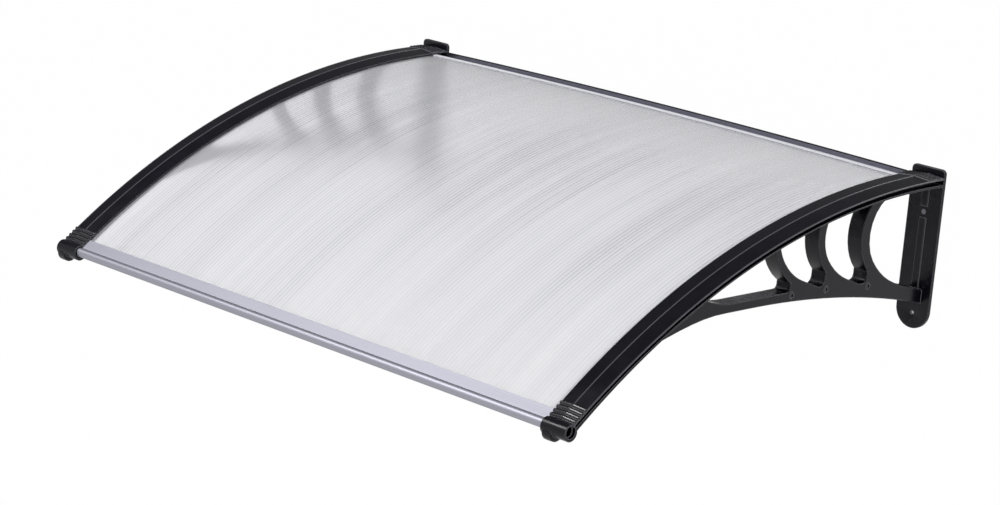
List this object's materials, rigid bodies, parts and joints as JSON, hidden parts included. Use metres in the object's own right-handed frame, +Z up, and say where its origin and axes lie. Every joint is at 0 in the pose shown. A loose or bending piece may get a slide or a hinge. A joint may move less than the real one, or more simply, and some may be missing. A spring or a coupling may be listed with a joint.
{
  "type": "door canopy",
  "caption": "Curved door canopy: a translucent twin-wall sheet held between two moulded wall brackets, with a tubular front bar, a wall rail and a rubber seal.",
  "frame": {"origin": "on the wall's face, on the back of the wall seal, midway between the two brackets, at the level where the arc of the arms meets the wall plates", "axes": "+X along the wall to the right as seen from outside, +Y into the wall, +Z up"},
  "size_m": [1.002, 0.7024, 0.2705],
  "materials": {
    "bracket_plastic": "satin black moulding with a fine grain",
    "sheet_polycarbonate": "clear fluted twin-wall sheet",
    "bar_aluminium": "drawn, satin",
    "rail_aluminium": "drawn, satin",
    "seal_rubber": "matte black"
  },
  "bodies": {
    "root": {"bracket_left": "bracket_plastic", "bracket_right": "bracket_plastic", "canopy_sheet": "sheet_polycarbonate", "front_bar": "bar_aluminium", "wall_rail": "rail_aluminium", "wall_seal": "seal_rubber"}
  },
  "joints": []
}
